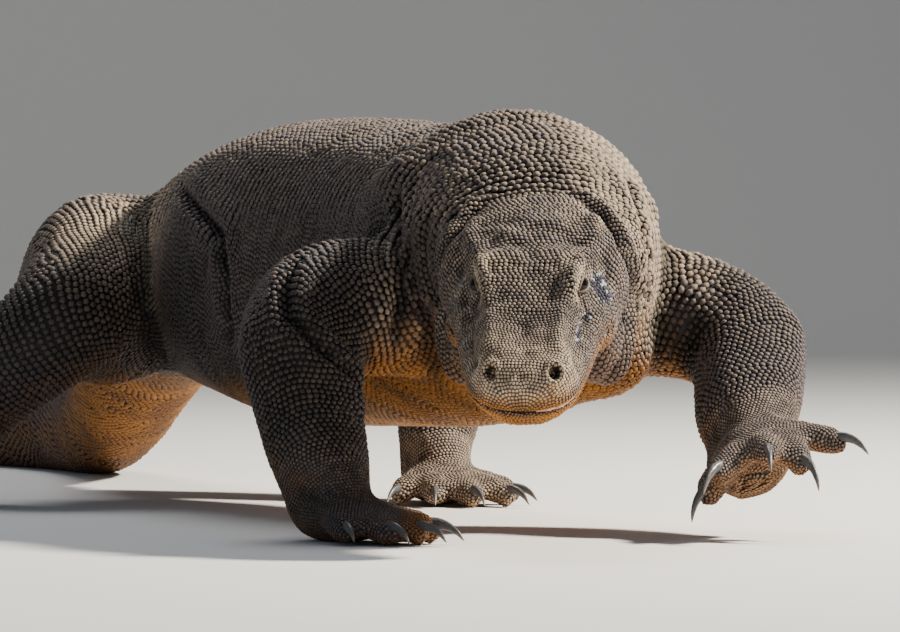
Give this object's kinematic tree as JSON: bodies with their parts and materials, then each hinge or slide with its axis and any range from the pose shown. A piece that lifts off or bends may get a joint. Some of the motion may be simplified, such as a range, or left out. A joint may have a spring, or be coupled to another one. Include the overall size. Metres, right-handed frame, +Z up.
{
  "type": "komodo dragon",
  "caption": "Life-size still model of a walking Komodo dragon, head lowered and turned, one forefoot lifted clear of the floor, tail laid in a curve behind it.",
  "frame": {"origin": "middle of the bounding box at floor level, under the belly", "axes": "-Y is the way the trunk faces, +X is the animal's left, +Z is up; the trunk lies along Y and the tail reaches +Y"},
  "size_m": [0.7206, 2.2418, 0.3647],
  "materials": {
    "hide": "dry, beaded scales",
    "eye": "wet and glossy",
    "claw": "satin horn"
  },
  "bodies": {
    "root": {"head": "hide", "lower_jaw": "hide", "neck": "hide", "trunk": "hide", "tail_base": "hide", "tail_middle": "hide", "tail_rear": "hide", "foreleg_right_upper": "hide", "foreleg_right_lower": "hide", "forefoot_right": "hide", "foreleg_left_upper": "hide", "foreleg_left_lower": "hide", "forefoot_left": "hide", "hindleg_right_thigh": "hide", "hindleg_right_shank": "hide", "hindfoot_right": "hide", "hindleg_left_thigh": "hide", "hindleg_left_shank": "hide", "hindfoot_left": "hide", "eye_right": "eye", "eye_left": "eye", "claw_forefoot_right_1": "claw", "claw_forefoot_right_2": "claw", "claw_forefoot_right_3": "claw", "claw_forefoot_right_4": "claw", "claw_forefoot_right_5": "claw", "claw_forefoot_left_1": "claw", "claw_forefoot_left_2": "claw", "claw_forefoot_left_3": "claw", "claw_forefoot_left_4": "claw", "claw_forefoot_left_5": "claw", "claw_hindfoot_right_1": "claw", "claw_hindfoot_right_2": "claw", "claw_hindfoot_right_3": "claw", "claw_hindfoot_right_4": "claw", "claw_hindfoot_right_5": "claw", "claw_hindfoot_left_1": "claw", "claw_hindfoot_left_2": "claw", "claw_hindfoot_left_3": "claw", "claw_hindfoot_left_4": "claw", "claw_hindfoot_left_5": "claw"}
  },
  "joints": []
}
